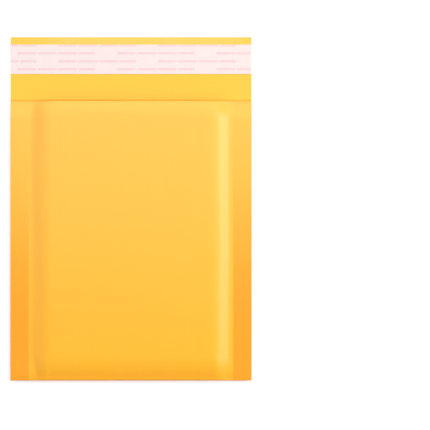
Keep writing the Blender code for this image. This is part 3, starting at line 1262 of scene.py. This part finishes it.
@dataclass
class BubbleLining:
    """The bubble film: a folded bag whose bubbles face into the pocket.

    Attributes:
        form: the envelope's form.
        outer_inset: distance of the film's outer face from that of the paper.
        inner_inset: distance of its inner face from the outer face of the paper.
        bubble_diameter: diameter of a bubble at its foot.
        bubble_pitch: distance from bubble to bubble in a row.
        bubble_height: height of a full bubble.
        crushed_gap: gap that is kept between the crowns of facing bubbles.
        lip_margin: width of the plain film at the lip.
        overhang: how far the bubbles reach over the shoulders.
        least_height: height under which a bubble is left out.
    """

    form: EnvelopeForm
    outer_inset: float = 0.00055
    inner_inset: float = 0.00074
    bubble_diameter: float = 0.0100
    bubble_pitch: float = 0.0118
    bubble_height: float = 0.0018
    crushed_gap: float = 0.0008
    lip_margin: float = 0.009
    overhang: float = 0.003
    least_height: float = 0.0004

    def build(self) -> None:
        """Builds and dresses the film."""
        lip_y = self.form.lip_y
        outer = self.form.web(lip_y, self.outer_inset)
        bag = Sheet("film_with_seats", outer, self.form.web(lip_y, self.inner_inset)).build()
        self._add_seats(bag)
        dome = DomeTree()
        tree = dome.build("film_bubbles", FilmFinish().material())
        bubbles = bag.modifiers.new("Bubbles", "NODES")
        bubbles.node_group = tree
        values = {"Diameter": self.bubble_diameter, "Segments": dome.segments}
        for item in tree.interface.items_tree:
            if item.in_out == "INPUT" and item.name in values:
                bubbles[item.identifier] = values[item.name]
        depsgraph = bpy.context.evaluated_depsgraph_get()
        mesh = bpy.data.meshes.new_from_object(bag.evaluated_get(depsgraph), depsgraph=depsgraph)
        bpy.data.objects.remove(bag)
        mesh.name = "bubble_film"
        settle(add_object("bubble_film", mesh), "bubble_lining")

    def _seats(self) -> tuple[np.ndarray, np.ndarray, np.ndarray]:
        """Places the bubbles on both walls in staggered rows.

        Returns:
            Their feet, the directions in which they stand and their heights.
        """
        flat = self.form.width / 2 - self.form.seal_band - self.form.shoulder + self.overhang
        row_pitch = self.bubble_pitch * math.sqrt(3) / 2
        first_y = self.form.lip_y - self.lip_margin - self.bubble_pitch / 2
        rows = np.arange(first_y, self.form.fold_y + self.bubble_diameter / 2, -row_pitch)
        columns = np.arange(-math.floor(flat / self.bubble_pitch), flat / self.bubble_pitch)
        x = (columns[None, :] + 0.5 * (np.arange(len(rows))[:, None] % 2)) * self.bubble_pitch
        y = np.broadcast_to(rows[:, None], x.shape)
        gap = self.form.height(Wall.UPPER, x, y) - self.form.height(Wall.LOWER, x, y)
        rise = np.minimum(self.bubble_height, (gap - 2 * self.inner_inset - self.crushed_gap) / 2)
        kept = (rise > self.least_height) & (np.abs(x) < flat - self.bubble_diameter / 2)
        x, y, rise = x[kept], y[kept], rise[kept]
        feet = [self.form.wall_points(wall, x, y, self.inner_inset) for wall in Wall]
        ups = [-self.form.wall_normals(wall, x, y) for wall in Wall]
        return np.concatenate(feet), np.concatenate(ups), np.tile(rise, len(Wall))

    def _add_seats(self, bag: bpy.types.Object) -> None:
        """Adds the seats to the bag's mesh as loose vertices with attributes.

        Args:
            bag: the film without its bubbles.
        """
        feet, ups, rises = self._seats()
        mesh = bag.data
        bare = len(mesh.vertices)
        mesh.vertices.add(len(feet))
        place = np.empty(len(mesh.vertices) * 3, np.float32)
        mesh.vertices.foreach_get("co", place)
        place[bare * 3:] = feet.astype(np.float32).ravel()
        mesh.vertices.foreach_set("co", place)
        seat = np.arange(len(mesh.vertices)) >= bare
        up = np.zeros((len(mesh.vertices), 3), np.float32)
        up[bare:] = ups
        rise = np.zeros(len(mesh.vertices), np.float32)
        rise[bare:] = rises
        mesh.attributes.new("seat", "BOOLEAN", "POINT").data.foreach_set("value", seat)
        mesh.attributes.new("up", "FLOAT_VECTOR", "POINT").data.foreach_set("vector", up.ravel())
        mesh.attributes.new("rise", "FLOAT", "POINT").data.foreach_set("value", rise)
        mesh.update()


@dataclass
class FlapStrip:
    """A strip that lies on the flap, across its whole width.

    Attributes:
        form: the envelope's form.
        node: the frame's node that the strip stands for.
        beneath: height of what it lies on, from the outer face of the paper.
        gap: hairline between them.
        thickness: its thickness.
    """

    form: EnvelopeForm
    node: str
    beneath: float
    gap: float
    thickness: float

    @property
    def top(self) -> float:
        """Height of its upper face, from the outer face of the paper."""
        return self.beneath + self.gap + self.thickness

    def build(self, name: str, slot: str, material: bpy.types.Material) -> None:
        """Builds and dresses the strip.

        Args:
            name: the piece's name.
            slot: the record's material slot. It is not used.
            material: the strip's material.
        """
        low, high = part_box(self.node)
        x, y = np.meshgrid(self.form.columns(), spread([high.y, low.y], [self.form.coarse_step]))
        outer = self.form.wall_points(Wall.LOWER, x, y, self.beneath + self.gap)
        inner = self.form.wall_points(Wall.LOWER, x, y, self.top)
        piece = Sheet(name, outer, inner).build()
        piece.data.materials.append(material)
        settle(piece, self.node)


@dataclass(frozen=True)
class Softbox:
    """A rectangular lamp that faces the middle of the envelope.

    Attributes:
        name: the lamp's name.
        place: where it hangs.
        width: its side that lies level.
        height: its other side.
        power: its power in watts.
    """

    name: str
    place: tuple[float, float, float]
    width: float
    height: float
    power: float

    def build(self) -> None:
        """Hangs the lamp."""
        lamp = bpy.data.lights.new(self.name, "AREA")
        lamp.shape = "RECTANGLE"
        lamp.size = self.width
        lamp.size_y = self.height
        lamp.energy = self.power
        softbox = bpy.data.objects.new(self.name, lamp)
        softbox.location = self.place
        softbox.rotation_euler = softbox.location.to_track_quat("Z", "Y").to_euler()
        softbox.visible_camera = False
        bpy.context.scene.collection.objects.link(softbox)


@dataclass(frozen=True)
class Studio:
    """Floor, light and camera.

    Attributes:
        object_width: width of the envelope.
        width_px: width of the envelope in the picture.
        centre_px: place of the envelope's middle in the picture, from its top left corner.
        picture_px: side of the square picture.
        camera_height: height of the camera over the floor.
        sensor: width of its sensor in millimetres.
        floor_size: side of the square floor.
        floor_drop: gap between the floor and the envelope.
        floor_colour: colour of the floor.
        floor_roughness: roughness of the floor.
        floor_glow: light that the camera sees on top of the floor's own.
        sky: strength of the sky's light.
        softboxes: the lamps.
    """

    object_width: float
    width_px: float = 241.0
    centre_px: tuple[float, float] = (131.1, 208.75)
    picture_px: float = 430.0
    camera_height: float = 2.5
    sensor: float = 36.0
    floor_size: float = 12.0
    floor_drop: float = 0.0002
    floor_colour: Colour = (0.79, 0.82, 0.91, 1.0)
    floor_roughness: float = 0.9
    floor_glow: float = 0.36
    sky: float = 0.486
    softboxes: tuple[Softbox, ...] = (
        Softbox("side_softbox", (1.35, 0.09, 0.92), 0.75, 0.60, 11.0),
        Softbox("fill_softbox", (-1.30, 0.00, 0.45), 0.90, 0.50, 1.4),
        Softbox("top_softbox", (0.0, 1.30, 1.90), 4.00, 3.00, 44.0),
    )

    def build(self) -> None:
        """Builds the whole studio."""
        self._floor()
        self._sky()
        for softbox in self.softboxes:
            softbox.build()
        self._camera()
        bpy.context.scene.view_settings.view_transform = "Standard"

    def _seen(self, graph: Graph) -> Signal:
        """Finds the rays that reach the camera straight, by a mirror or through glass.

        Args:
            graph: the graph of the floor's or the sky's shader.

        Returns:
            1 for these rays, 0 for all others.
        """
        path = graph.add("ShaderNodeLightPath").outputs
        seen = Signal(graph, path["Is Camera Ray"]) + path["Is Glossy Ray"] + path["Is Transmission Ray"]
        return seen.at_most(1.0)

    def _floor(self) -> None:
        """A pale floor that looks white and keeps the envelope's shadow."""
        half = self.floor_size / 2
        corners = [(-half, -half), (half, -half), (half, half), (-half, half)]
        mesh = bpy.data.meshes.new("floor")
        mesh.from_pydata([(x, y, -self.floor_drop) for x, y in corners], [], [(0, 1, 2, 3)])
        floor = add_object("floor", mesh)
        constants = {"Base Color": self.floor_colour, "Roughness": self.floor_roughness}
        material, graph, shader = new_shader("pale_floor", constants)
        glow = graph.add("ShaderNodeEmission", None, {"Strength": self.floor_glow})
        dark = graph.add("ShaderNodeEmission", None, {"Strength": 0.0})
        share = self._seen(graph)
        lift = graph.add("ShaderNodeMixShader", None, {0: share, 1: dark.outputs[0], 2: glow.outputs[0]})
        both = graph.add("ShaderNodeAddShader", None, {0: shader.outputs[0], 1: lift.outputs[0]})
        graph.feed(material.node_tree.nodes["Material Output"].inputs["Surface"], both.outputs[0])
        mesh.materials.append(material)

    def _sky(self) -> None:
        """An even soft light from all round, which looks white."""
        world = bpy.data.worlds.new("soft_sky")
        world.use_nodes = True
        bpy.context.scene.world = world
        graph = Graph(world.node_tree)
        strength = self.sky + self._seen(graph) * (1.0 - self.sky)
        background = world.node_tree.nodes["Background"]
        graph.feed(background.inputs["Color"], WHITE)
        graph.feed(background.inputs["Strength"], strength)

    def _camera(self) -> None:
        """A camera with a long lens, straight above, which frames the envelope as the picture does."""
        pixel = self.object_width / self.width_px
        data = bpy.data.cameras.new("camera")
        data.sensor_width = self.sensor
        data.lens = self.sensor * self.camera_height / (self.picture_px * pixel)
        camera = bpy.data.objects.new("camera", data)
        middle = self.picture_px / 2
        x = (middle - self.centre_px[0]) * pixel
        y = (self.centre_px[1] - middle) * pixel
        camera.location = (x, y, self.camera_height)
        bpy.context.scene.collection.objects.link(camera)
        bpy.context.scene.camera = camera


def main() -> None:
    """Builds the studio and the envelope, from its paper to the backing of its glue strip."""
    logging.basicConfig(level=logging.INFO, format="%(name)s: %(message)s")
    form = EnvelopeForm.from_frame()
    Studio(form.width).build()
    web = KraftWeb(form)
    web.build()
    BubbleLining(form).build()
    glue = FlapStrip(form, "adhesive_strip", beneath=web.paper, gap=0.00001, thickness=0.00016)
    glue.build("glue_strip", "hot_melt_glue", GlueFinish().material())
    backing = FlapStrip(form, "release_backing", beneath=glue.top, gap=0.00002, thickness=0.00012)
    release = ReleaseFinish(form.width / 2 * MM)
    backing.build("peel_off_backing", "release_paper", release.material())


if __name__ == "__main__":
    main()
